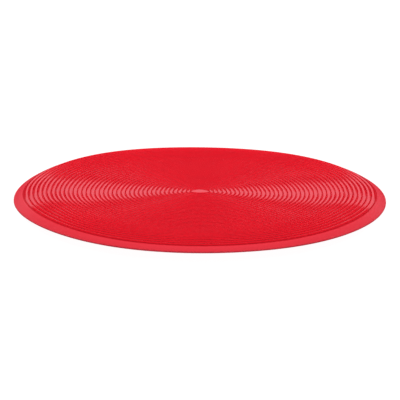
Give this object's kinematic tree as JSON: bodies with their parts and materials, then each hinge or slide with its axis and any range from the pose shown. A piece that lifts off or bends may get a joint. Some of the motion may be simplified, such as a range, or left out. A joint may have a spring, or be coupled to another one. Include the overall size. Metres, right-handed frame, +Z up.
{
  "type": "balance cushion",
  "caption": "Low round air-filled balance cushion with concentric ridges, a thin welded rim and a plugged needle valve in its base.",
  "frame": {"origin": "centre of the base, in the plane that the cushion rests on", "axes": "+Z up, out of the upper face along the disc's axis; +X towards the nail notch beside the valve plug"},
  "size_m": [0.33, 0.33, 0.0154],
  "materials": {
    "red_vinyl": "semi-gloss flexible vinyl",
    "housing_vinyl": "satin milky soft vinyl",
    "core_rubber": "matt moulded rubber",
    "plug_plastic": "satin moulded plastic"
  },
  "bodies": {
    "cushion": {"top_shell": "red_vinyl", "bottom_shell": "red_vinyl", "valve_housing": "housing_vinyl", "valve_core": "core_rubber"},
    "plug": {"valve_plug": "plug_plastic"}
  },
  "joints": [
    {"name": "plug_pull", "type": "slide", "parent": "cushion", "child": "plug", "axis": [0, 0, -1], "range_m": [0, 0.008]}
  ]
}
